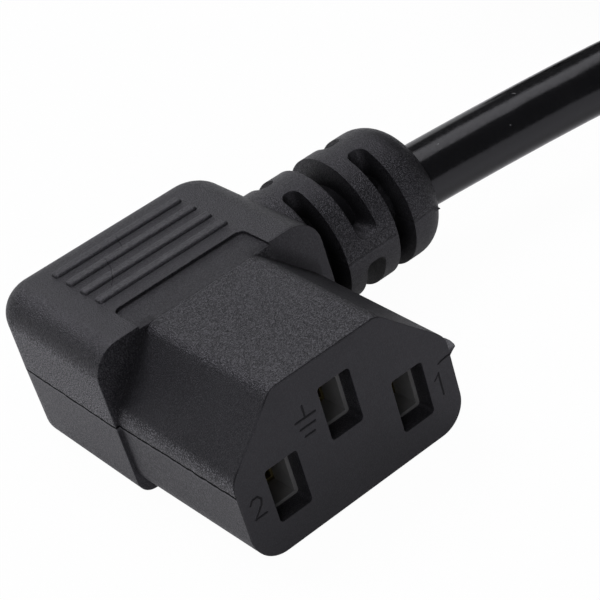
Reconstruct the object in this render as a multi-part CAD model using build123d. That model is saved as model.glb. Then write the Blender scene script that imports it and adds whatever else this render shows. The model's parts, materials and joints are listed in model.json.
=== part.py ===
"""Power cord: an angled ten ampere appliance connector, a round three core cord and an inline plug.

Everything is in millimetres. Each piece is first drawn in the connector's own frame: X runs along the
cord's exit, Y runs from the mating face into the housing, Z is up and the mould's parting plane is Z = 0.
At the end all pieces move to the part's frame, whose origin is under the middle of the connector.
"""
from build123d import *
import os
from math import cos, pi, radians, sin, sqrt, tan

# Mating face of the connector
face_width = 23.6
face_top = 7.45
face_bottom = 7.65
key_chamfer = 6.0
key_radius = 1.6
key_side_radius = 2.2
bottom_radius = 2.9
least_radius = 0.3
pin_pitch = 14.0
earth_offset = 4.0
window_width = 3.5
window_height = 5.55
window_depth = 2.0
window_corner_radius = 0.35

# Housing of the connector
nose_length = 17.6
nose_spread = 0.3
block_width = 25.6
block_shift = 0.3
block_draft = 0.5
block_back = 36.95
block_top = 7.75
block_bottom = 8.0
block_corner_radius = 4.0
block_edge_radius = 3.0
block_under_radius = 1.6
panel_half_width = 7.4
panel_depth_back = 4.4
panel_corner_radius = 0.8

# Grip ribs on the housing
rib_count = 4
rib_pitch = 2.57
rib_length = 14.8
rib_width = 1.15
rib_height = 0.3
rib_rounding = 0.25
rib_first = 24.5

# Cord
cord_diameter = 6.8
exit_depth = 25.7
core_wire_diameter = 1.15
insulation_diameter = 2.4
core_ring_radius = 1.45

# Strain relief of the connector
relief_end = 28.8
relief_radius = 7.05
relief_end_radius = 3.2
relief_core_radius = 4.1
relief_web = 2.7
slot_widths = (1.9, 2.4, 2.1)
slot_corner_radius = 0.9
slot_pitch = 4.15
slot_first = 14.7
jacket_setback = 7.5

# Contact carrier and contacts inside the connector
carrier_wall = 1.6
carrier_back = 16.6
hole_width = 2.8
hole_height = 4.9
hole_depth = 2.9
chamber_width = 3.4
chamber_height = 5.3
contact_clearance = 0.1
contact_thickness = 0.4
contact_length = 9.6
barrel_radius = 1.1
barrel_length = 4.2
barrel_lap = 2.4
wire_bend_radius = 2.6
wire_straight = 4.0

# Inline plug at the far end
fit_clearance = 0.5
shroud_wall = 1.1
grip_wall = 1.2
shroud_depth = 16.6
carrier_base = 5.0
rim_setback = 1.5
grip_length = 25.0
taper_length = 13.0
neck_width = 15.0
neck_height = 14.5
neck_radius = 6.0
plug_relief_length = 19.0
plug_relief_radius = 6.3
plug_relief_end_radius = 2.2
plug_slot_first = 3.5
pin_width = 4.0
pin_thickness = 2.0
pin_length = 15.2
pin_tip_chamfer = 0.6
pin_tail = 3.0
plug_wire_gap = 1.2

# Put away length: a tied hank of turns that lie beside and on each other
hank_left = 109.4
hank_middle = 30.8
hank_straight = 34.0
hank_rings = 3
hank_layers = 2
hank_inner_radius = 21.5
hank_edge_radius = 3.0
join_angle = -115.0
join_stub = 24.0
lead_first_run = 22.0
lead_last_run = 13.2
riser_length = 28.0
riser_sink = 5.9
valley_drop = 0.9
plug_rest_gap = 0.1
tail_gap = 20.0

# Ties round the hank
tie_width = 3.6
tie_thickness = 0.7
tie_head = 5.0
tie_head_height = 4.0
tie_place = 2.0

cord_radius = cord_diameter / 2
jacket_start = pin_pitch / 2 + jacket_setback
plug_length = grip_length + taper_length + plug_relief_length
hank_right = hank_left + hank_straight
bundle_width = hank_rings * cord_diameter
bundle_height = hank_layers * cord_diameter
hank_floor = -block_bottom + tie_thickness
hank_top = hank_floor + bundle_height
outer_turn_radius = hank_inner_radius + (hank_rings - 1) * cord_diameter
valley_radius = hank_inner_radius + cord_diameter / 2
plug_floor_height = face_bottom + fit_clearance + shroud_wall + grip_wall
tail_height = hank_top + plug_rest_gap + plug_floor_height
plug_mouth = hank_right - tail_gap - plug_length
plug_side = hank_middle + valley_radius
plug_place = Pos(plug_mouth, plug_side, tail_height)

# Places of the three ways: sideways and up from the middle of a mating face
ways = {
    "line": (pin_pitch / 2, -earth_offset / 2, -120.0),
    "neutral": (-pin_pitch / 2, -earth_offset / 2, 120.0),
    "earth": (0.0, earth_offset / 2, 0.0),
}


def nose_outline(grow, spread=0.0):
    """Keyed outline of the mating face, offset outwards by grow and made wider by spread on both sides."""
    high = face_top + grow
    low = -face_bottom - grow
    half = face_width / 2 + grow + spread
    leg = key_chamfer + (2 - sqrt(2)) * grow
    corners = [(-half, low), (half, low), (half, high - leg)]
    corners += [(half - leg, high), (-half + leg, high), (-half, high - leg)]
    outline = make_face(Polyline(*corners, close=True))
    rounding = [(low, bottom_radius), (high - leg, key_side_radius), (high, key_radius)]
    for level, radius in rounding:
        corner_pair = outline.vertices().filter_by(lambda v: abs(v.Y - level) < 0.001)
        outline = fillet(corner_pair, max(radius + grow, least_radius))
    return outline


def prism(outline, start, end):
    """Solid from an outline in width and height, between two depths behind the face."""
    return extrude(Plane.XZ.offset(-start) * outline, amount=start - end)


def rod(radius, start, end):
    """Round rod along X between two places."""
    return Pos((start + end) / 2, 0, 0) * Rot(0, 90, 0) * Cylinder(radius, end - start)


def slot_fins(centre, width):
    """Two fins with rounded corners, along Z, that leave a web between them."""
    reach = 3 * relief_radius
    fin = Pos(centre, relief_web / 2 + reach / 2) * RectangleRounded(width, reach, slot_corner_radius)
    solid = extrude(fin, amount=reach, both=True)
    return solid + mirror(solid, Plane.XZ)


def strain_relief(start, end, radius, end_radius, first):
    """Flexing sleeve along X: slots turned by a quarter from one to the next."""
    sleeve = rod(radius, start, end)
    rim = sleeve.edges().filter_by(GeomType.CIRCLE).sort_by(Axis.X)[-1]
    sleeve = fillet(rim, end_radius)
    for index, width in enumerate(slot_widths):
        centre = first + index * slot_pitch
        fins = slot_fins(centre, width)
        if index % 2:
            fins = Rot(90, 0, 0) * fins
        sleeve -= fins - rod(relief_core_radius, centre - width, centre + width)
    return sleeve


def housing_block():
    """Rounded block behind the nose, with its recessed panel and grip ribs."""
    depth = block_back - nose_length
    plan = Pos(0, nose_length + depth / 2) * Rectangle(block_width, depth)
    back_corners = plan.vertices().group_by(Axis.Y)[-1]
    plan = fillet(back_corners, block_corner_radius)
    upper = extrude(plan, amount=block_top, taper=block_draft)
    lower = extrude(plan, amount=-block_bottom, taper=block_draft)
    upper = fillet(upper.faces().sort_by(Axis.Z)[-1].edges().sort_by(Axis.Y)[1:], block_edge_radius)
    lower = fillet(lower.faces().sort_by(Axis.Z)[0].edges().sort_by(Axis.Y)[1:], block_under_radius)
    block = upper + lower
    panel = Pos(0, nose_length) * Rectangle(2 * panel_half_width, 2 * panel_depth_back)
    panel = fillet(panel.vertices().group_by(Axis.Y)[-1], panel_corner_radius)
    block -= extrude(Pos(0, 0, face_top) * panel, amount=1)
    for index in range(rib_count):
        block += Pos(0, rib_first + index * rib_pitch, block_top) * grip_rib()
    return Pos(block_shift, 0, 0) * block


def grip_rib():
    """One raised rib with a rounded top, sunk by its own height."""
    rib = Box(rib_length, rib_width, 2 * rib_height)
    rib = fillet(rib.edges().filter_by(Axis.Z), rib_width / 4)
    return fillet(rib.faces().sort_by(Axis.Z)[-1].edges(), rib_rounding)


def carrier_channels():
    """Stepped holes for the three contacts, open at the back of the carrier."""
    channels = []
    for side, up, _ in ways.values():
        hole = Pos(side, up) * Rectangle(hole_width, hole_height)
        chamber = Pos(side, up) * Rectangle(chamber_width, chamber_height)
        channels.append(prism(hole, window_depth - 1, window_depth + hole_depth))
        channels.append(prism(chamber, window_depth + hole_depth, carrier_back + 1))
    return channels


def contact_carrier():
    """Rigid insert behind the mating face that holds the contacts apart."""
    carrier = prism(nose_outline(-carrier_wall), window_depth, carrier_back)
    for channel in carrier_channels():
        carrier -= channel
    return carrier


def contact(side, up):
    """Folded spring sleeve with a crimp barrel for the wire at its back."""
    front = window_depth + hole_depth + contact_clearance
    back = front + contact_length
    width = chamber_width - 2 * contact_clearance
    height = chamber_height - 2 * contact_clearance
    sleeve = prism(Pos(side, up) * Rectangle(width, height), front, back)
    inside = Rectangle(width - 2 * contact_thickness, height - 2 * contact_thickness)
    sleeve -= prism(Pos(side, up) * inside, front - 1, back - contact_thickness)
    split = Rectangle(contact_thickness, height)
    sleeve -= prism(Pos(side, up + height / 2) * split, front - 1, back - 1)
    sleeve += prism(Pos(side, up) * Circle(barrel_radius + contact_thickness), back, back + barrel_length)
    sleeve -= prism(Pos(side, up) * Circle(core_wire_diameter / 2), back + 1, back + barrel_length + 1)
    return sleeve


def wire_line(side, up, turn, start):
    """Route of one wire from its crimp to its place in the end of the cord."""
    across = exit_depth + core_ring_radius * sin(radians(turn))
    level = core_ring_radius * cos(radians(turn))
    settled = jacket_start - wire_straight
    points = [(side, start, up), (side, across, up), (settled, across, level), (jacket_start, across, level)]
    return FilletPolyline(*points, radius=wire_bend_radius)


def swept(line, radius):
    """Round bar along a line."""
    return sweep(Plane(origin=line @ 0, z_dir=line % 0) * Circle(radius), path=line)


def connector_wires():
    """Copper cores and their insulation, from the crimps to the end of the cord."""
    pieces = {}
    crimp_end = window_depth + hole_depth + contact_clearance + contact_length + barrel_length
    for name, (side, up, turn) in ways.items():
        core = swept(wire_line(side, up, turn, crimp_end - barrel_lap), core_wire_diameter / 2)
        sleeve = swept(wire_line(side, up, turn, crimp_end), insulation_diameter / 2)
        pieces[name + "_core"] = core
        pieces[name + "_insulation"] = sleeve - core
    return pieces


def connector(lead):
    """The angled connector: overmould, carrier, contacts and wires, moulded on the cord's lead."""
    pieces = {"contact_carrier": contact_carrier()}
    for name, (side, up, _) in ways.items():
        pieces[name + "_contact"] = contact(side, up)
    pieces.update(connector_wires())

    face = Plane.XZ * nose_outline(0)
    root = Plane.XZ.offset(-nose_length) * nose_outline(0, nose_spread)
    body = loft([face, root]) + housing_block()
    relief = strain_relief(
        block_width / 2 - block_edge_radius,
        relief_end,
        relief_radius,
        relief_end_radius,
        slot_first,
    )
    body += Pos(0, exit_depth, 0) * relief
    body -= lead
    body -= prism(nose_outline(-carrier_wall), window_depth, carrier_back)
    for side, up, _ in ways.values():
        window = Pos(side, up) * RectangleRounded(window_width, window_height, window_corner_radius)
        body -= prism(window, -1, window_depth)
        crimp = Pos(side, up) * Circle(barrel_radius + contact_thickness)
        crimp_end = window_depth + hole_depth + contact_clearance + contact_length + barrel_length
        body -= prism(crimp, carrier_back - 1, crimp_end)
    for name in ways:
        body -= pieces[name + "_insulation"]
        body -= pieces[name + "_core"]
    pieces["connector_body"] = body
    return pieces


def plug_prism(outline, start, end):
    """Solid from an outline in width and height, along X of the plug."""
    return extrude(Plane.YZ.offset(start) * outline, amount=end - start)


def pin_carrier():
    """Rigid shroud and base that hold the three pins."""
    base_start = shroud_depth
    shroud = plug_prism(nose_outline(fit_clearance + shroud_wall), 0, base_start + carrier_base)
    shroud -= plug_prism(nose_outline(fit_clearance), -1, base_start)
    for side, up, _ in ways.values():
        hole = Pos(side, up) * Rectangle(pin_thickness, pin_width)
        shroud -= plug_prism(hole, base_start - 1, base_start + carrier_base + 1)
    return shroud


def pin(side, up):
    """Flat pin with a chamfered tip and a crimp tail."""
    tip = shroud_depth - pin_length
    back = shroud_depth + carrier_base
    blade = plug_prism(Pos(side, up) * Rectangle(pin_thickness, pin_width), tip, back)
    tip_edges = blade.faces().sort_by(Axis.X)[0].edges()
    blade = chamfer(tip_edges, pin_tip_chamfer)
    blade += plug_prism(Pos(side, up) * Circle(barrel_radius), back, back + pin_tail)
    blade -= plug_prism(Pos(side, up) * Circle(core_wire_diameter / 2), back + 1, back + pin_tail + 1)
    return blade


def plug_wires(jacket_end):
    """Wires of the plug: from each pin's tail they draw in to the end of the cord."""
    pieces = {}
    tail_end = shroud_depth + carrier_base + pin_tail
    drawn_in = tail_end + plug_wire_gap
    for name, (side, up, turn) in ways.items():
        spread = core_ring_radius * sin(radians(turn))
        level = core_ring_radius * cos(radians(turn))
        middle = (drawn_in + 0.7 * (jacket_end - drawn_in), -spread, level)
        for part, start, width in (
            ("core", tail_end - barrel_lap / 2, core_wire_diameter),
            ("insulation", tail_end, insulation_diameter),
        ):
            points = [(start, side, up), (drawn_in + 1, side, up), middle, (jacket_end, -spread, level)]
            line = FilletPolyline(*points, radius=plug_wire_gap)
            pieces["plug_" + name + "_" + part] = swept(line, width / 2)
        pieces["plug_" + name + "_insulation"] -= pieces["plug_" + name + "_core"]
    return pieces


def plug():
    """The inline plug at the far end, drawn with its mouth at X = 0."""
    jacket_end = grip_length + taper_length
    pieces = {"pin_carrier": pin_carrier()}
    for name, (side, up, _) in ways.items():
        pieces["plug_" + name + "_pin"] = pin(side, up)
    pieces.update(plug_wires(jacket_end))

    skin = fit_clearance + shroud_wall + grip_wall
    body = plug_prism(nose_outline(skin), rim_setback, grip_length)
    wide = Plane.YZ.offset(grip_length) * nose_outline(skin)
    neck = Plane.YZ.offset(jacket_end) * RectangleRounded(neck_width, neck_height, neck_radius)
    body += loft([wide, neck])
    body += Pos(jacket_end, 0, 0) * strain_relief(
        -1,
        plug_relief_length,
        plug_relief_radius,
        plug_relief_end_radius,
        plug_slot_first,
    )
    body -= rod(cord_radius, jacket_end, plug_length + 1)
    body -= plug_prism(nose_outline(fit_clearance + shroud_wall), -1, shroud_depth + carrier_base)
    for name, (side, up, _) in ways.items():
        tail = Pos(side, up) * Circle(barrel_radius)
        back = shroud_depth + carrier_base
        body -= plug_prism(tail, back - 1, back + pin_tail)
        body -= pieces["plug_" + name + "_insulation"]
        body -= pieces["plug_" + name + "_core"]
    pieces["plug_body"] = body
    return {name: plug_place * piece for name, piece in pieces.items()}


def stadium(radius, height):
    """Long round ended plate under a turn of the given radius, around the hank's middle."""
    middle = (hank_left + hank_right) / 2
    plate = SlotCenterToCenter(hank_straight, 2 * radius)
    return extrude(Pos(middle, hank_middle, hank_floor) * plate, amount=height)


def join_point(back):
    """Centre of the cord on the line that touches the outer turn, so far back from it."""
    angle = radians(join_angle)
    heading = radians(join_angle + 90)
    return Vector(
        hank_left + outer_turn_radius * cos(angle) - back * cos(heading),
        hank_middle + outer_turn_radius * sin(angle) - back * sin(heading),
        hank_top - cord_radius,
    )


def cord_hank():
    """Outer shape of the tied turns, with the cord's two ends that leave it."""
    inner = hank_inner_radius - cord_radius
    hank = stadium(inner + bundle_width, bundle_height) - stadium(inner, bundle_height)
    levels = hank.edges().group_by(Axis.Z)
    hank = fillet(levels[0] + levels[-1], hank_edge_radius)
    heading = join_point(0) - join_point(join_stub)
    face = Plane(origin=join_point(join_stub), z_dir=heading)
    hank += extrude(face * Circle(cord_radius), amount=join_stub)

    low = hank_top + cord_radius - valley_drop
    rise = tail_height - low
    tilt = rise / (2 * valley_radius)
    start = Vector(hank_right, hank_middle - valley_radius, low)
    up_axis = Axis((hank_right, hank_middle, low + rise / 2), (0, -sin(tilt), cos(tilt)))
    section = Plane(origin=start, z_dir=(1, 0, 0)) * Circle(cord_radius)
    hank += revolve(section, up_axis, 180)
    foot = start - Vector(riser_length, 0, riser_sink)
    climb = Plane(origin=foot, z_dir=start - foot) * Circle(cord_radius)
    hank += extrude(climb, amount=(start - foot).length)
    return hank


def lead_points():
    """Centres that the cord passes near on its way from the connector to the hank."""
    return [
        Vector(jacket_start, exit_depth, 0),
        Vector(jacket_start + lead_first_run, exit_depth, 0),
        join_point(join_stub + lead_last_run),
        join_point(join_stub),
    ]


def route_radii(points):
    """Largest arc that each corner's two runs allow."""
    radii = []
    for before, here, after in zip(points, points[1:], points[2:]):
        run_in = here - before
        run_out = after - here
        half_turn = radians(run_in.get_angle(run_out)) / 2
        radii.append(0.45 * min(run_in.length, run_out.length) / tan(half_turn))
    return radii


def cord_tube(points):
    """Round cord along straight runs joined by tangent arcs."""
    radii = route_radii(points)
    path = FilletPolyline(*points, radius=radii)
    tube = swept(path, cord_radius)
    section = pi * cord_radius**2
    print("cord runs", [round((b - a).length, 1) for a, b in zip(points, points[1:])])
    print("cord radii", [round(radius, 1) for radius in radii])
    print("cord length", round(path.length, 1), "volume ratio", round(tube.volume / (section * path.length), 4))
    return tube


def hank_tie():
    """Tie with a square head, drawn round a bundle that runs along X."""
    high = bundle_height + 2 * tie_thickness
    wide = bundle_width + 2 * tie_thickness
    outline = RectangleRounded(wide, high, hank_edge_radius + tie_thickness)
    band = extrude(Plane.YZ * outline, amount=tie_width / 2, both=True)
    head = Pos(0, wide / 2 + tie_head_height / 2 - tie_thickness, 0)
    head *= Box(tie_head, tie_head_height, tie_head)
    head = fillet(head.edges().filter_by(Axis.Y), tie_thickness)
    return band + head


def cord_pieces():
    """Cord from connector to plug, with the ties that hold its hank."""
    middle = hank_inner_radius + (hank_rings - 1) * cord_diameter / 2
    level = hank_floor + bundle_height / 2
    hank = cord_hank()
    side_tie = Pos(hank_left + tie_place, hank_middle - middle, level) * hank_tie()
    end_tie = Pos(hank_right + middle, hank_middle, level) * Rot(0, 0, 90) * hank_tie()
    tail_start = hank_right
    tail_end = plug_mouth + grip_length + taper_length
    return {
        "cord_lead": cord_tube(lead_points()),
        "cord_hank": hank,
        "cord_tail": Pos(0, plug_side, tail_height) * rod(cord_radius, tail_end, tail_start),
        "side_tie": side_tie - hank,
        "end_tie": end_tie - hank,
    }


def main():
    """Build each piece, move it to the part's frame and write it."""
    os.makedirs("parts", exist_ok=True)
    pieces = cord_pieces()
    pieces.update(connector(pieces["cord_lead"]))
    pieces.update(plug())
    across = (block_width / 2 - block_shift - relief_end) / 2
    origin = Pos(across, -block_back / 2, block_bottom)
    for name, piece in pieces.items():
        export_step(origin * piece, "parts/" + name + ".step")


main()
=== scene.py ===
import json
from math import cos, radians, sin
from types import SimpleNamespace

import bmesh
import bpy
from mathutils import Euler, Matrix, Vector

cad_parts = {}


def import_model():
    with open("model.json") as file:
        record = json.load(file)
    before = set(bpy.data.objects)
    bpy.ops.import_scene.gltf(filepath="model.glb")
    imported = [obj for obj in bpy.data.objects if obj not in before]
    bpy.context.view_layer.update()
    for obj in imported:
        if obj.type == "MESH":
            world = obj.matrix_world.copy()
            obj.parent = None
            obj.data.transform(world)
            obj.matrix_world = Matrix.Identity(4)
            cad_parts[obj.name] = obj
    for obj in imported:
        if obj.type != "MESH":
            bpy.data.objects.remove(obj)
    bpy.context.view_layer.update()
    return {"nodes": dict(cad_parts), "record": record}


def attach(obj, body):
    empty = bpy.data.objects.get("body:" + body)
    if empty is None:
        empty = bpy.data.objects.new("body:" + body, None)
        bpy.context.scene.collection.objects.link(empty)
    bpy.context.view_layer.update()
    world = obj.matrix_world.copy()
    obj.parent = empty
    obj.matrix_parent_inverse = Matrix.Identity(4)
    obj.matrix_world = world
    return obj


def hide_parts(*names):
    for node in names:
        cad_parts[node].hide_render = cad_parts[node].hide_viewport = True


MM = 0.001

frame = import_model()

# Sizes shared with the part's source, in millimetres and degrees
ORIGIN = Vector((-8.15, -18.475, 8.0))
CORD = 6.8
EXIT_DEPTH = 25.7
JACKET_START = 14.5
NOSE_LENGTH = 17.6
RIB_FOOT = 7.75
BLOCK_MIDDLE = 0.3
TIE_THICKNESS = 0.7
HANK_LEFT = 109.4
HANK_MIDDLE = 30.8
HANK_STRAIGHT = 34.0
HANK_RIGHT = HANK_LEFT + HANK_STRAIGHT
HANK_FLOOR = TIE_THICKNESS - ORIGIN.z
HANK_TOP = HANK_FLOOR + 2 * CORD
INNER_TURN = 21.5
MIDDLE_TURN = INNER_TURN + CORD
OUTER_TURN = INNER_TURN + 2 * CORD
JOIN_ANGLE = -115.0
JOIN_STUB = 24.0
LEAD_FIRST_RUN = 22.0
LEAD_LAST_RUN = 13.2
VALLEY = INNER_TURN + CORD / 2
VALLEY_DROP = 0.9
PLUG_REST_GAP = 0.1
PLUG_FLOOR_HEIGHT = 10.45
PLUG_RELIEF = 19.0
TAIL_GAP = 20.0
TAIL_HEIGHT = HANK_TOP + PLUG_REST_GAP + PLUG_FLOOR_HEIGHT

# The cord's curve: pull of its second point, turns of the hank, points on each round end,
# and the changes from one place in the hank to the next, counted in points
EXIT_WEIGHT = 0.4
HANK_TURNS = 5
END_POINTS = 8
STEP = 180.0 / END_POINTS
FIRST_CHANGE = 10
CHANGE_EVERY = 14
CHANGE_LENGTH = 4

# Camera: sensor and lens in millimetres, place in metres, turn in degrees
SENSOR_WIDTH = 36.0
LENS = 115.73
CAMERA_PLACE = (-0.07188, -0.132825, 0.10348)
CAMERA_TURN = (56.5666, 14.6171, -38.3116)

# Places where the connector's material changes, in millimetres of its own frame
FACE_EDGE = 0.02
TOP_EDGE = 7.2
TOP_HALF_WIDTH = 7.5
SEAM_HALF_WIDTH = 6.6
PANEL_FLOOR = 7.45
PANEL_END = 23.0
CHAMFER_LOW = 1.0
CHAMFER_HIGH = 6.4
SIDE_TOP = 5.2
SLOPE_START = 12.4
SLOPE_END = 14.0
FRONT_RIGHT = 7.0
OUTER_SIDES = 10.0
OUTER_HEIGHTS = 6.0
RELIEF_START = 13.3
SLOTS_START = 14.0
SLOTS_END = 25.6
SLOT_BOTTOM = 4.3
SLOT_MOUTH = 6.8
FLANK_START = 11.4
FLANK_END = 12.9
FLANK_TOP = 4.4
NOSE_SIDE = 11.9
BLOCK_SIDE = 12.15
TORN_SIDE = 11.83
TORN_DEPTH = 1.0
RIM_DEPTH = 0.13
LIP_HEIGHT = -0.27

# Tones of the connector
VINYL_DARK = (0.008, 0.008, 0.009)
VINYL_LIGHT = (0.0115, 0.0115, 0.0128)
# Pale specks of the grain, partly painted glints of its sparkle
SPECK_AND_GLINT_TONE = (0.045, 0.045, 0.049)
# Painted glints on the sides of nose and block
FLANK_GLINT_TONE = (0.13, 0.13, 0.138)
BLOCK_GLINT_TONE = (0.15, 0.15, 0.158)
SEAM_TONE = (0.1, 0.1, 0.105)
# Painted light on the rib walls and tops
RIB_PAINTED_LIGHT_TONE = (0.024, 0.024, 0.026)
# Painted highlight on the edge just below the parting line
LIP_HIGHLIGHT_TONE = (0.05, 0.05, 0.054)
# Painted shade at the bottom of the relief's slots
SLOT_SHADE_TONE = (0.003, 0.003, 0.0034)
TORN_TONE = (0.16, 0.16, 0.165)
LINE_TONE = (0.001, 0.001, 0.0012)

# Depth of the grain and radius of soft edges, in metres
GRAIN_DEPTH = 0.00014
EDGE_RADIUS = 0.00012
FLASH_ROUNDING = 0.00005

# Signs and scratches drawn in X and Z on the mating face, and in X and Y on the top
EARTH_SIGN = [
    [(-3.55, 4.2), (-3.55, 3.0)],
    [(-4.6, 3.0), (-2.5, 3.0)],
    [(-4.35, 2.15), (-2.75, 2.15)],
    [(-4.05, 1.3), (-3.05, 1.3)],
]
NUMBER_ONE = [[(9.6, -1.95), (10.15, -1.45), (10.15, -3.75)]]
NUMBER_TWO = [[
    (-10.9, -1.35), (-10.6, -0.95), (-10.05, -0.95), (-9.75, -1.35),
    (-9.9, -1.85), (-10.85, -2.9), (-9.65, -2.9),
]]
TEAR = [[(12.0, -0.45), (11.25, -0.45), (10.8, -0.5), (10.4, -0.6)]]
SCUFFS = [
    [(0.16, 32.1), (-0.43, 30.2)],
    [(-2.65, 29.8), (-3.07, 28.3), (-3.93, 26.6), (-4.8, 25.6)],
]

# Outlines of the fins of moulding flash
CORNER_FLASH = [
    (11.4, 0.2, 1.35), (11.9, 0.2, 1.0), (12.35, 0.22, 0.6), (12.65, 0.2, 0.05), (12.67, 0.15, -0.2),
    (12.25, 0.1, -0.4), (11.95, 0.08, -0.6), (11.76, 0.1, -0.85), (11.5, 0.2, -0.3),
]
RING_FLASH = [(26.9, 19.2, -0.2), (27.4, 18.85, -0.35), (27.55, 18.8, -0.6), (27.1, 19.1, -0.75)]

# Floor, world and lamps: lengths in metres, strengths as shares of white
FLOOR_SIZE = 8.0
FLOOR_SEEN = 0.975
FLOOR_REFLECTED = 0.2
ROOM_STRENGTH = 0.08
BACKDROP_STRENGTH = 0.65
LAMP_TARGET = (0.0, 0.0, 0.01)
COOL = (0.96, 0.95, 1.0)
NEARLY_WHITE = (0.98, 0.98, 1.0)


def at(x, y, z):
    """A point of the connector's own frame, in metres in the part's frame."""
    return (Vector((x, y, z)) + ORIGIN) * MM


def make_camera():
    data = bpy.data.cameras.new("camera")
    data.sensor_width = SENSOR_WIDTH
    data.lens = LENS
    data.clip_start = 0.01
    camera = bpy.data.objects.new("camera", data)
    camera.location = CAMERA_PLACE
    camera.rotation_euler = Euler([radians(angle) for angle in CAMERA_TURN], "XYZ")
    bpy.context.collection.objects.link(camera)
    bpy.context.scene.camera = camera


# Material nodes
def new_material(name):
    material = bpy.data.materials.new(name)
    material.use_nodes = True
    tree = material.node_tree
    shader = tree.nodes["Principled BSDF"]
    return material, tree, shader


def link(tree, source, output, target, socket):
    tree.links.new(source.outputs[output], target.inputs[socket])


def math_node(tree, operation, *values):
    node = tree.nodes.new("ShaderNodeMath")
    node.operation = operation
    for index, value in enumerate(values):
        if isinstance(value, (int, float)):
            node.inputs[index].default_value = value
        else:
            tree.links.new(value, node.inputs[index])
    return node.outputs[0]


def plus(tree, first, *others):
    for other in others:
        first = math_node(tree, "ADD", first, other)
    return first


def times(tree, first, *others):
    for other in others:
        first = math_node(tree, "MULTIPLY", first, other)
    return first


def minus(tree, first, second):
    return math_node(tree, "SUBTRACT", first, second)


def largest(tree, first, *others):
    for other in others:
        first = math_node(tree, "MAXIMUM", first, other)
    return first


def absolute(tree, value):
    return math_node(tree, "ABSOLUTE", value)


def length(tree, across, up):
    """Length of a line from its two sides."""
    return math_node(tree, "SQRT", plus(tree, times(tree, across, across), times(tree, up, up)))


def outside(tree, mask):
    """One where a mask is nothing, and nothing where it is one."""
    return minus(tree, 1.0, mask)


def ramp(tree, value, low, high, start, end):
    """Smooth change from a start to an end while a value goes from low to high."""
    node = tree.nodes.new("ShaderNodeMapRange")
    node.interpolation_type = "SMOOTHSTEP"
    node.clamp = True
    tree.links.new(value, node.inputs["Value"])
    for socket, number in (("From Min", low), ("From Max", high), ("To Min", start), ("To Max", end)):
        node.inputs[socket].default_value = number
    return node.outputs["Result"]


def past(tree, value, level, fade):
    """Nothing up to a level of a value, then a fade to one."""
    return ramp(tree, value, level, level + fade, 0.0, 1.0)


def before(tree, value, level, fade):
    """One up to a level of a value, then a fade to nothing."""
    return ramp(tree, value, level, level + fade, 1.0, 0.0)


def band(tree, value, middle, half_width, soft):
    """One close to a level of a value and nothing away from it."""
    away = absolute(tree, minus(tree, value, middle))
    return ramp(tree, away, half_width - soft, half_width + soft, 1.0, 0.0)


def weakened(tree, mask, left):
    """One outside a mask, and only that share inside it."""
    return ramp(tree, mask, 0.0, 1.0, 1.0, left)


def noise(tree, scale, detail=2.0, rough=0.5):
    coordinate = tree.nodes.new("ShaderNodeTexCoord")
    node = tree.nodes.new("ShaderNodeTexNoise")
    node.inputs["Scale"].default_value = scale
    node.inputs["Detail"].default_value = detail
    node.inputs["Roughness"].default_value = rough
    link(tree, coordinate, "Object", node, "Vector")
    return node.outputs["Fac"]


def mix_colour(tree, factor, first, second):
    """A colour between two; the first is a plain colour or another node's output."""
    node = tree.nodes.new("ShaderNodeMix")
    node.data_type = "RGBA"
    tree.links.new(factor, node.inputs["Factor"])
    if isinstance(first, tuple):
        node.inputs["A"].default_value = (*first, 1)
    else:
        tree.links.new(first, node.inputs["A"])
    node.inputs["B"].default_value = (*second, 1)
    return node.outputs["Result"]


def bump(tree, height, distance, normal=None):
    node = tree.nodes.new("ShaderNodeBump")
    node.inputs["Strength"].default_value = 1.0
    node.inputs["Distance"].default_value = distance
    tree.links.new(height, node.inputs["Height"])
    if normal is not None:
        tree.links.new(normal, node.inputs["Normal"])
    return node.outputs["Normal"]


def soft_edges(tree, radius):
    node = tree.nodes.new("ShaderNodeBevel")
    node.samples = 4
    node.inputs["Radius"].default_value = radius
    return node.outputs["Normal"]


def local_axes(tree):
    """Place on the part in millimetres, in the connector's own frame, along X, Y and Z."""
    coordinate = tree.nodes.new("ShaderNodeTexCoord")
    scaled = tree.nodes.new("ShaderNodeVectorMath")
    scaled.operation = "MULTIPLY_ADD"
    link(tree, coordinate, "Object", scaled, 0)
    scaled.inputs[1].default_value = (1 / MM, 1 / MM, 1 / MM)
    scaled.inputs[2].default_value = tuple(-value for value in ORIGIN)
    split = tree.nodes.new("ShaderNodeSeparateXYZ")
    link(tree, scaled, "Vector", split, "Vector")
    return split.outputs["X"], split.outputs["Y"], split.outputs["Z"]


def stroke_distance(tree, u, v, start, end):
    """Distance of a place from one straight stroke."""
    run = (end[0] - start[0], end[1] - start[1])
    square = run[0] ** 2 + run[1] ** 2
    across = minus(tree, u, start[0])
    up = minus(tree, v, start[1])
    share = plus(tree, times(tree, across, run[0] / square), times(tree, up, run[1] / square))
    share.node.use_clamp = True
    side = minus(tree, across, times(tree, share, run[0]))
    rise = minus(tree, up, times(tree, share, run[1]))
    return length(tree, side, rise)


def strokes(tree, u, v, paths, half_width, soft):
    """One inside the drawn lines and nothing outside."""
    nearest = None
    for path in paths:
        for start, end in zip(path, path[1:]):
            distance = stroke_distance(tree, u, v, start, end)
            nearest = distance if nearest is None else math_node(tree, "MINIMUM", nearest, distance)
    return ramp(tree, nearest, half_width - soft, half_width + soft, 1.0, 0.0)


# Material of the connector
def relief_slot_shade(tree, spot):
    """Painted shade: one at the bottom of the strain relief's slots, fading to nothing at their mouths."""
    reach = length(tree, minus(tree, spot.y, EXIT_DEPTH), spot.z)
    deep = ramp(tree, reach, SLOT_BOTTOM, SLOT_MOUTH, 1.0, 0.0)
    return times(tree, deep, past(tree, spot.x, SLOTS_START, 0.6), before(tree, spot.x, SLOTS_END, 0.4))


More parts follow.
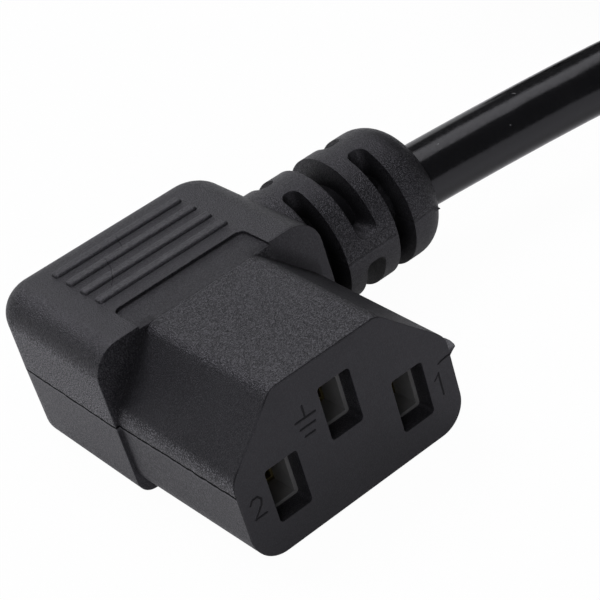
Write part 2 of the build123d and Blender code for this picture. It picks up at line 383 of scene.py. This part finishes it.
def recessed_panel(tree, spot):
    """The smooth floor of the panel between the nose and the ribs."""
    at_floor = band(tree, spot.z, PANEL_FLOOR, 0.1, 0.05)
    return times(tree, at_floor, spot.in_block, spot.top_middle, before(tree, spot.y, PANEL_END, 1.0))


def glint_flank(tree, spot):
    """The upright sides of nose and block, but not the block's front, where painted glints go."""
    ends = times(tree, past(tree, spot.side, FLANK_START, 0.3), before(tree, spot.x, FLANK_END, 0.3))
    heights = times(tree, ramp(tree, spot.z, -0.2, 0.2, 0.2, 1.0), before(tree, spot.z, FLANK_TOP, 1.8))
    return times(tree, ends, spot.behind_face, heights, outside(tree, spot.on_front))


def inner_corner(tree, spot):
    """The corner between the nose's chamfers and the block's front."""
    slope = plus(tree, spot.side, spot.z)
    on_chamfer = times(tree, past(tree, slope, SLOPE_START, 0.6), before(tree, slope, SLOPE_END, 2.2))
    near_block = band(tree, spot.y, NOSE_LENGTH, 1.0, 0.9)
    return times(tree, on_chamfer, near_block, before(tree, spot.side, NOSE_SIDE, 0.4))


def connector_spot(tree):
    """Place of a spot on the connector, and for each zone one inside it and nothing outside."""
    x, y, z = local_axes(tree)
    spot = SimpleNamespace(x=x, y=y, z=z, side=absolute(tree, x))
    spot.on_face = before(tree, y, FACE_EDGE, 0.08)
    spot.behind_face = past(tree, y, FACE_EDGE, 0.28)
    spot.in_nose = before(tree, y, NOSE_LENGTH - 0.1, 0.2)
    spot.in_block = past(tree, y, NOSE_LENGTH, 0.2)
    spot.on_front = band(tree, y, NOSE_LENGTH, 0.3, 0.1)
    spot.on_top = past(tree, z, TOP_EDGE, 0.15)
    spot.top_middle = band(tree, x, BLOCK_MIDDLE, TOP_HALF_WIDTH, 0.1)
    spot.wide = past(tree, spot.side, OUTER_SIDES, 1.0)
    spot.torn = times(tree, past(tree, x, TORN_SIDE, 0.07), before(tree, y, TORN_DEPTH, 0.4))
    # painted light on the rib walls and tops
    spot.worn = times(tree, past(tree, z, RIB_FOOT, 0.08), spot.top_middle)
    spot.slots = relief_slot_shade(tree, spot)
    spot.panel = recessed_panel(tree, spot)
    spot.flank = glint_flank(tree, spot)
    spot.inner_corner = inner_corner(tree, spot)
    return spot


def grain_amount(tree, spot, outside_slot_shade):
    """Strength of the grain: strong on the block's sides, weak on chamfers, panel, sleeve and underside."""
    above = ramp(tree, spot.z, -0.2, 0.2, 0.35, 1.0)
    chamfer = times(tree, past(tree, spot.z, CHAMFER_LOW, 1.2), before(tree, spot.z, CHAMFER_HIGH, 0.9))
    chamfer = times(tree, chamfer, spot.in_nose)
    coarse = plus(tree, times(tree, spot.in_nose, 0.3), 0.7)
    coarse = minus(tree, coarse, times(tree, chamfer, 0.65))
    coarse = minus(tree, coarse, times(tree, spot.panel, 0.3))
    side = times(tree, ramp(tree, spot.z, SIDE_TOP, SIDE_TOP + 1.2, 0.8, 0.0), spot.in_block)
    sleeve = ramp(tree, spot.x, RELIEF_START, RELIEF_START + 0.5, 1.0, 0.65)
    coarse = times(tree, plus(tree, coarse, side), sleeve)
    right_front = times(tree, spot.on_front, ramp(tree, spot.x, FRONT_RIGHT, FRONT_RIGHT + 1.0, 0.0, 0.6))
    coarse = times(tree, minus(tree, coarse, right_front), outside_slot_shade)
    return plus(tree, times(tree, spot.behind_face, above, coarse, 0.9), 0.1)


def mould_lines(tree, spot):
    """The parting line with a painted highlight just below it, the rim round the face and the seam between
    nose and block.
    """
    whole = outside(tree, spot.torn)
    visible = largest(tree, spot.wide, past(tree, spot.y, NOSE_LENGTH - 0.6, 0.5))
    sleeve = ramp(tree, spot.x, RELIEF_START, RELIEF_START + 0.5, 1.0, 0.3)
    waves = noise(tree, scale=700.0, rough=0.6)
    wavy = plus(tree, spot.z, ramp(tree, waves, 0.3, 0.7, -0.06, 0.06))
    parting = times(tree, band(tree, wavy, 0.0, 0.12, 0.05), spot.behind_face, visible, sleeve, whole)
    lip_highlight = times(tree, band(tree, wavy, LIP_HEIGHT, 0.11, 0.07), spot.behind_face, visible, sleeve, whole)
    round_face = largest(tree, spot.wide, past(tree, absolute(tree, spot.z), OUTER_HEIGHTS, 0.6))
    rim = times(tree, round_face, band(tree, spot.y, RIM_DEPTH, 0.09, 0.05), whole)
    across_top = times(tree, band(tree, spot.x, BLOCK_MIDDLE, SEAM_HALF_WIDTH, 0.3), spot.on_top)
    seam = times(tree, band(tree, spot.y, NOSE_LENGTH, 0.06, 0.04), across_top)
    return parting, lip_highlight, rim, seam


def connector_tone(tree, spot, speck, amount, lip_highlight, seam, dark_lines):
    """Near black vinyl with pale specks and painted glints, painted light on the ribs, painted shade in the
    slots, a painted highlight below the parting line and the mould's lines.
    """
    broad = noise(tree, scale=120.0, detail=4.0, rough=0.6)
    tone = mix_colour(tree, ramp(tree, broad, 0.3, 0.7, 0.0, 1.0), VINYL_DARK, VINYL_LIGHT)
    block_side_glint = times(tree, spot.flank, past(tree, spot.side, BLOCK_SIDE, 0.2))
    layers = [
        # pale grain specks, partly painted glints
        (times(tree, ramp(tree, speck, 0.56, 0.7, 0.0, 1.0), amount, 0.7), SPECK_AND_GLINT_TONE),
        # painted glints on the sides of nose and block
        (times(tree, ramp(tree, speck, 0.53, 0.66, 0.0, 0.85), spot.flank), FLANK_GLINT_TONE),
        (times(tree, ramp(tree, speck, 0.46, 0.6, 0.0, 0.6), block_side_glint), BLOCK_GLINT_TONE),
        (times(tree, seam, 0.8), SEAM_TONE),
        # painted light on the rib walls and tops
        (spot.worn, RIB_PAINTED_LIGHT_TONE),
        # painted highlight just below the parting line
        (times(tree, lip_highlight, 0.8), LIP_HIGHLIGHT_TONE),
        # painted shade in the relief's slots
        (times(tree, spot.slots, 0.7), SLOT_SHADE_TONE),
        (times(tree, spot.torn, ramp(tree, spot.z, -0.3, 0.2, 0.0, 0.8)), TORN_TONE),
        (dark_lines, LINE_TONE),
    ]
    for share, colour in layers:
        tone = mix_colour(tree, share, tone, colour)
    return tone


def connector_shine(tree, spot, speck, amount, dark_lines, outside_slot_shade):
    """Reflection that sparkles with the grain and is weaker in lines, panel, corners, face and slots; in the
    corner between nose and block and in the slots the weaker reflection is painted shade.
    """
    sparkle = ramp(tree, speck, 0.36, 0.64, -0.28, 0.36)
    shine = plus(tree, times(tree, sparkle, amount), 0.5)
    zones = [(dark_lines, 0.1), (spot.panel, 0.78), (spot.inner_corner, 0.6), (spot.on_face, 0.87)]
    for zone, left in zones:
        shine = times(tree, shine, weakened(tree, zone, left))
    return times(tree, shine, outside_slot_shade)


def overmould():
    """Sandblasted soft vinyl with a mould's parting line, sharp marks on the face and scuffs on the top."""
    material, tree, shader = new_material("overmould")
    spot = connector_spot(tree)
    speck = noise(tree, scale=8000.0, detail=1.0, rough=0.6)
    pits = noise(tree, scale=3600.0, rough=0.6)
    # the painted shade of the slots also weakens grain and reflection there
    outside_slot_shade = outside(tree, times(tree, spot.slots, 0.75))
    amount = grain_amount(tree, spot, outside_slot_shade)
    parting, lip_highlight, rim, seam = mould_lines(tree, spot)
    signs = EARTH_SIGN + NUMBER_ONE + NUMBER_TWO + TEAR
    marks = times(tree, strokes(tree, spot.x, spot.z, signs, 0.1, 0.05), spot.on_face)
    scuffs = times(tree, strokes(tree, spot.x, spot.y, SCUFFS, 0.045, 0.035), spot.on_top)
    drawn = largest(tree, times(tree, marks, 0.6), times(tree, scuffs, 0.5))
    dark_lines = largest(tree, parting, drawn, times(tree, rim, 0.6))

    tone = connector_tone(tree, spot, speck, amount, lip_highlight, seam, dark_lines)
    tree.links.new(tone, shader.inputs["Base Color"])
    rough = plus(tree, ramp(tree, pits, 0.3, 0.7, 0.4, 0.5), times(tree, dark_lines, 0.3))
    tree.links.new(rough, shader.inputs["Roughness"])
    shine = connector_shine(tree, spot, speck, amount, dark_lines, outside_slot_shade)
    tree.links.new(shine, shader.inputs["Specular IOR Level"])
    shader.inputs["Specular Tint"].default_value = (0.94, 0.915, 1.0, 1.0)

    grain = times(tree, plus(tree, times(tree, speck, 0.75), times(tree, pits, 0.25)), amount)
    height = minus(tree, grain, times(tree, parting, 0.5))
    height = plus(tree, height, times(tree, seam, 0.12), times(tree, marks, 0.7))
    normal = bump(tree, height, GRAIN_DEPTH, soft_edges(tree, EDGE_RADIUS))
    tree.links.new(normal, shader.inputs["Normal"])
    return material


# Other materials
def vinyl(name, dark, light, roughness, grain, depth):
    """Smooth moulded plastic: fine grain, slight tone changes and soft edges."""
    material, tree, shader = new_material(name)
    broad = noise(tree, scale=90.0, detail=3.0, rough=0.6)
    fine = noise(tree, scale=grain, rough=0.7)
    tone = mix_colour(tree, ramp(tree, broad, 0.35, 0.65, 0.0, 1.0), dark, light)
    tree.links.new(tone, shader.inputs["Base Color"])
    rough = ramp(tree, fine, 0.3, 0.7, roughness - 0.06, roughness + 0.08)
    tree.links.new(rough, shader.inputs["Roughness"])
    shader.inputs["Specular IOR Level"].default_value = 0.5
    normal = bump(tree, fine, depth, soft_edges(tree, EDGE_RADIUS))
    tree.links.new(normal, shader.inputs["Normal"])
    return material


def jacket():
    """Extruded vinyl sheath: glossy, with faint waves and a few specks of dust."""
    material, tree, shader = new_material("jacket")
    waves = noise(tree, scale=160.0)
    fine = noise(tree, scale=2600.0, rough=0.6)
    dust = noise(tree, scale=1500.0, detail=0.0)
    dark = (0.003, 0.003, 0.0035)
    light = (0.0042, 0.0042, 0.0048)
    dust_tone = (0.3, 0.3, 0.3)
    tone = mix_colour(tree, ramp(tree, waves, 0.3, 0.7, 0.0, 1.0), dark, light)
    tone = mix_colour(tree, times(tree, ramp(tree, dust, 0.86, 0.89, 0.0, 1.0), 0.3), tone, dust_tone)
    tree.links.new(tone, shader.inputs["Base Color"])
    tree.links.new(ramp(tree, fine, 0.3, 0.7, 0.15, 0.23), shader.inputs["Roughness"])
    shader.inputs["Specular IOR Level"].default_value = 0.5
    shader.inputs["Specular Tint"].default_value = (0.96, 0.95, 1.0, 1.0)
    height = plus(tree, waves, times(tree, fine, 0.03))
    tree.links.new(bump(tree, height, 0.00009), shader.inputs["Normal"])
    return material


def carrier():
    """Pale grey rigid plastic of the insert behind the windows."""
    dark = (0.1, 0.1, 0.098)
    light = (0.125, 0.125, 0.122)
    return vinyl("carrier", dark, light, roughness=0.42, grain=900.0, depth=0.000001)


def tie():
    """Dark plastic of the ties."""
    dark = (0.012, 0.012, 0.013)
    light = (0.016, 0.016, 0.017)
    return vinyl("tie", dark, light, roughness=0.36, grain=1800.0, depth=0.000004)


def wire_plastic(name, dark, light):
    """Insulation of one wire."""
    return vinyl(name, dark, light, roughness=0.38, grain=2500.0, depth=0.000004)


def metal(name, dark, light, roughness, scratch=2500.0):
    """Metal with slight stains and fine scratches."""
    material, tree, shader = new_material(name)
    stains = noise(tree, scale=350.0, detail=4.0, rough=0.6)
    fine = noise(tree, scale=scratch, rough=0.6)
    tone = mix_colour(tree, ramp(tree, stains, 0.3, 0.7, 0.0, 1.0), dark, light)
    tree.links.new(tone, shader.inputs["Base Color"])
    shader.inputs["Metallic"].default_value = 1.0
    rough = ramp(tree, fine, 0.3, 0.7, roughness - 0.06, roughness + 0.1)
    tree.links.new(rough, shader.inputs["Roughness"])
    tree.links.new(bump(tree, fine, 0.000004, soft_edges(tree, 0.0001)), shader.inputs["Normal"])
    return material


def make_materials():
    return {
        "overmould": overmould(),
        "carrier": carrier(),
        "jacket": jacket(),
        "tie": tie(),
        # The contacts' brass is darker and more olive than bare brass: painted shade for their place deep in
        # the windows
        "contact": metal("contact", (0.32, 0.27, 0.12), (0.54, 0.45, 0.22), roughness=0.34),
        "pin": metal("pin", (0.6, 0.59, 0.56), (0.74, 0.73, 0.7), roughness=0.22),
        "copper": metal("copper", (0.6, 0.28, 0.16), (0.78, 0.42, 0.26), roughness=0.32, scratch=4000.0),
        "brown_wire": wire_plastic("brown_wire", (0.12, 0.05, 0.022), (0.16, 0.07, 0.03)),
        "blue_wire": wire_plastic("blue_wire", (0.022, 0.08, 0.34), (0.03, 0.1, 0.42)),
        "green_wire": wire_plastic("green_wire", (0.1, 0.33, 0.05), (0.14, 0.42, 0.07)),
    }


def paint(obj, material):
    obj.data.materials.clear()
    obj.data.materials.append(material)


# Cord
def ring_point(centre, angle, radius, height, half_step=STEP / 2):
    """Control point of a curve that follows a round end at that radius."""
    reach = radius / cos(radians(half_step))
    return (centre + reach * cos(radians(angle)), HANK_MIDDLE + reach * sin(radians(angle)), height)


def end_angles(start):
    """Angles of the points on one round end, which starts at that angle."""
    return [start + STEP * (index + 0.5) for index in range(END_POINTS)]


def join_point(back):
    """Point of the straight run before the place where the cord joins the hank."""
    angle = radians(JOIN_ANGLE)
    heading = radians(JOIN_ANGLE + 90)
    return (
        HANK_LEFT + OUTER_TURN * cos(angle) - back * cos(heading),
        HANK_MIDDLE + OUTER_TURN * sin(angle) - back * sin(heading),
        HANK_TOP - CORD / 2,
    )


def hank_points():
    """Turns that fill the hank's six places one after another."""
    high = HANK_TOP - CORD / 2
    low = HANK_FLOOR + CORD / 2
    places = [(OUTER_TURN, high), (OUTER_TURN, low), (MIDDLE_TURN, low)]
    places += [(INNER_TURN, low), (INNER_TURN, high), (MIDDLE_TURN, high)]
    stations = [(HANK_RIGHT, angle) for angle in end_angles(-90.0)]
    stations += [(HANK_LEFT, angle) for angle in end_angles(90.0)]
    points = []
    for index in range(HANK_TURNS * len(stations)):
        centre, angle = stations[index % len(stations)]
        radius, height = places[0]
        for change, (next_radius, next_height) in enumerate(places[1:]):
            progress = (index - FIRST_CHANGE - CHANGE_EVERY * change) / CHANGE_LENGTH + 0.5
            share = min(max(progress, 0.0), 1.0)
            radius += share * (next_radius - radius)
            height += share * (next_height - height)
        points.append(ring_point(centre, angle, radius, height))
    return points


def cord_points():
    """The cord's route: from the sheath's start to the hank, round it, up into its valley and to the plug."""
    high = HANK_TOP - CORD / 2
    valley_height = HANK_TOP + CORD / 2 - VALLEY_DROP
    half_turn = (-90.0 - JOIN_ANGLE) / 2
    points = [
        (JACKET_START, EXIT_DEPTH, 0),
        (JACKET_START + LEAD_FIRST_RUN, EXIT_DEPTH, 0),
        join_point(JOIN_STUB + LEAD_LAST_RUN),
        join_point(JOIN_STUB),
        ring_point(HANK_LEFT, JOIN_ANGLE + half_turn, OUTER_TURN, high, half_turn),
    ]
    points += hank_points()
    points += [
        (HANK_LEFT + 5, HANK_MIDDLE - MIDDLE_TURN, high),
        (HANK_LEFT + 16, HANK_MIDDLE - MIDDLE_TURN + 1.4, high + 2.2),
        (HANK_LEFT + 27, HANK_MIDDLE - VALLEY - 0.6, high + 5.0),
    ]
    for angle in end_angles(-90.0):
        share = (1 + sin(radians(angle))) / 2
        height = valley_height + (TAIL_HEIGHT - valley_height) * share
        points.append(ring_point(HANK_RIGHT, angle, VALLEY, height))
    for back in (12.0, 25.0, TAIL_GAP + PLUG_RELIEF):
        points.append((HANK_RIGHT - back, HANK_MIDDLE + VALLEY, TAIL_HEIGHT))
    return [at(*point) for point in points]


def make_cord(material):
    data = bpy.data.curves.new("cord", "CURVE")
    data.dimensions = "3D"
    data.bevel_depth = CORD / 2 * MM
    data.bevel_resolution = 12
    data.resolution_u = 10
    data.use_fill_caps = True
    spline = data.splines.new("NURBS")
    points = cord_points()
    spline.points.add(len(points) - 1)
    for point, place in zip(spline.points, points):
        point.co = (*place, 1.0)
    spline.points[1].co.w = EXIT_WEIGHT
    spline.order_u = 3
    spline.use_endpoint_u = True
    cord = bpy.data.objects.new("cord", data)
    bpy.context.collection.objects.link(cord)
    data.materials.append(material)
    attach(cord, "root")
    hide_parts("cord_lead", "cord_hank", "cord_tail")
    with_pieces = ["side_tie", "end_tie", "plug_body", "pin_carrier"]
    for way in ("line", "neutral", "earth"):
        with_pieces += [f"plug_{way}_{part}" for part in ("pin", "insulation", "core")]


# Moulding flash
def flash_fin(name, outline, thickness, material):
    """Thin torn fin of vinyl left at the mould's joint; the outline's thickness goes back along Y."""
    mesh = bpy.data.meshes.new(name)
    shape = bmesh.new()
    front = [shape.verts.new(at(x, y, z)) for x, y, z in outline]
    rear = [shape.verts.new(at(x, y + thickness, z)) for x, y, z in outline]
    shape.faces.new(front)
    shape.faces.new(list(reversed(rear)))
    for index in range(len(outline)):
        following = (index + 1) % len(outline)
        shape.faces.new([front[following], front[index], rear[index], rear[following]])
    bmesh.ops.recalc_face_normals(shape, faces=shape.faces)
    shape.to_mesh(mesh)
    shape.free()
    fin = bpy.data.objects.new(name, mesh)
    bpy.context.collection.objects.link(fin)
    rounding = fin.modifiers.new("rounding", "BEVEL")
    rounding.width = FLASH_ROUNDING
    rounding.segments = 2
    mesh.materials.append(material)
    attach(fin, "root")


def make_flash(material):
    flash_fin("corner_flash", CORNER_FLASH, thickness=0.7, material=material)
    flash_fin("ring_flash", RING_FLASH, thickness=0.5, material=material)


# Floor and light
def floor_material():
    """Pale matt floor that looks nearly white to the camera and less so in reflections."""
    material, tree, shader = new_material("floor")
    tone = mix_colour(tree, noise(tree, scale=3.0), (0.82, 0.82, 0.83), (0.85, 0.85, 0.86))
    tree.links.new(tone, shader.inputs["Base Color"])
    shader.inputs["Roughness"].default_value = 0.8
    shader.inputs["Specular IOR Level"].default_value = 0.2
    emission = tree.nodes.new("ShaderNodeEmission")
    emission.inputs["Color"].default_value = (1, 1, 1, 1)
    emission.inputs["Strength"].default_value = 1.0
    path = tree.nodes.new("ShaderNodeLightPath")
    seen = times(tree, path.outputs["Is Camera Ray"], FLOOR_SEEN)
    reflected = times(tree, path.outputs["Is Glossy Ray"], FLOOR_REFLECTED)
    mix = tree.nodes.new("ShaderNodeMixShader")
    tree.links.new(largest(tree, seen, reflected), mix.inputs["Fac"])
    tree.links.new(shader.outputs["BSDF"], mix.inputs[1])
    tree.links.new(emission.outputs["Emission"], mix.inputs[2])
    tree.links.new(mix.outputs["Shader"], tree.nodes["Material Output"].inputs["Surface"])
    return material


def make_floor():
    bpy.ops.mesh.primitive_plane_add(size=FLOOR_SIZE, location=(0, 0, 0))
    floor = bpy.context.active_object
    floor.name = "floor"
    paint(floor, floor_material())


def make_world():
    """A dim room with a pale backdrop low at the back, white to the camera."""
    world = bpy.data.worlds.new("world")
    bpy.context.scene.world = world
    world.use_nodes = True
    tree = world.node_tree
    background = tree.nodes["Background"]
    background.inputs["Color"].default_value = (0.97, 0.98, 1, 1)
    coordinate = tree.nodes.new("ShaderNodeTexCoord")
    split = tree.nodes.new("ShaderNodeSeparateXYZ")
    link(tree, coordinate, "Generated", split, "Vector")
    low = ramp(tree, split.outputs["Z"], 0.34, 0.47, 1.0, 0.0)
    back = ramp(tree, split.outputs["Y"], 0.0, 0.5, 0.0, 1.0)
    right = ramp(tree, split.outputs["X"], -0.6, 0.3, 0.3, 1.0)
    dim = plus(tree, times(tree, low, back, right, BACKDROP_STRENGTH), ROOM_STRENGTH)
    path = tree.nodes.new("ShaderNodeLightPath")
    seen = largest(tree, path.outputs["Is Camera Ray"], path.outputs["Is Transmission Ray"])
    strength = plus(tree, times(tree, dim, outside(tree, seen)), seen)
    tree.links.new(strength, background.inputs["Strength"])


def area_light(name, place, size, power, colour):
    data = bpy.data.lights.new(name, "AREA")
    data.shape = "RECTANGLE"
    data.size, data.size_y = size
    data.energy = power
    data.color = colour
    lamp = bpy.data.objects.new(name, data)
    lamp.location = place
    direction = Vector(LAMP_TARGET) - Vector(place)
    lamp.rotation_euler = direction.to_track_quat("-Z", "Y").to_euler()
    bpy.context.collection.objects.link(lamp)


def make_lamps():
    """A soft lamp high at the back, one high and one low at the front left, and a weak one on the right."""
    area_light("key", (-0.05, 0.45, 0.85), size=(0.6, 0.5), power=4.6, colour=COOL)
    area_light("front", (-0.55, -0.4, 0.75), size=(0.5, 0.5), power=2.6, colour=COOL)
    area_light("low", (-0.5, -0.8, 0.3), size=(0.5, 0.4), power=1.9, colour=COOL)
    area_light("right", (0.27, 0.05, 0.78), size=(0.6, 0.25), power=0.8, colour=NEARLY_WHITE)


def main():
    bpy.context.scene.view_settings.view_transform = "Standard"
    make_camera()
    materials = make_materials()
    make_cord(materials["jacket"])
    make_flash(materials["overmould"])
    for part in frame["record"]["subparts"]:
        node = frame["nodes"][part["node"]]
        paint(node, materials[part["material_slot"]])
    make_floor()
    make_world()
    make_lamps()


main()
